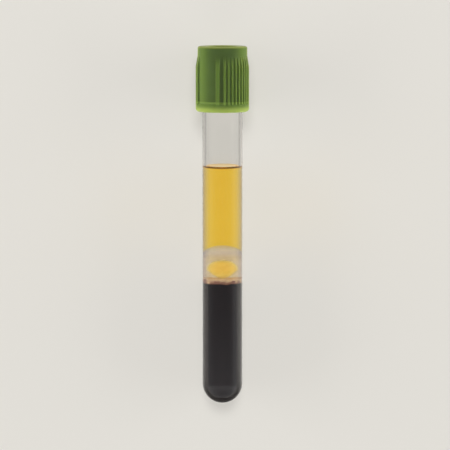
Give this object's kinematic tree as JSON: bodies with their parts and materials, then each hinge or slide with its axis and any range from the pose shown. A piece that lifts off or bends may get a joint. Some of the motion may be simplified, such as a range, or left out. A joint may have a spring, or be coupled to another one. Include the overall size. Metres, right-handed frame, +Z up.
{
  "type": "blood collection tube",
  "caption": "Clear round-bottomed plastic tube with a ribbed pull-off closure over a rubber stopper, holding spun blood: plasma above a gel plug and packed cells.",
  "frame": {"origin": "centre of the footprint, on the surface that the tube lies on", "axes": "+Z up; +Y along the tube towards its closure; +X to the right of someone who looks down on it with the closure away from them"},
  "size_m": [0.016, 0.1074, 0.0162],
  "materials": {
    "clear_plastic": "clear, polished",
    "green_plastic": "satin moulded",
    "grey_rubber": "matt",
    "yellow_plasma": "clear liquid",
    "beige_gel": "cloudy, translucent",
    "pink_buffy": "ragged soft layer",
    "dark_cells": "dense liquid"
  },
  "bodies": {
    "tube": {"tube": "clear_plastic", "red_cells": "dark_cells", "buffy_coat": "pink_buffy", "separator_gel": "beige_gel", "trapped_plasma": "yellow_plasma", "plasma": "yellow_plasma"},
    "closure": {"closure_shield": "green_plastic", "rubber_stopper": "grey_rubber"}
  },
  "joints": [
    {"name": "closure_pull", "type": "slide", "parent": "tube", "child": "closure", "axis": [0, 0.9997, 0.0238], "range_m": [0, 0.02]}
  ]
}
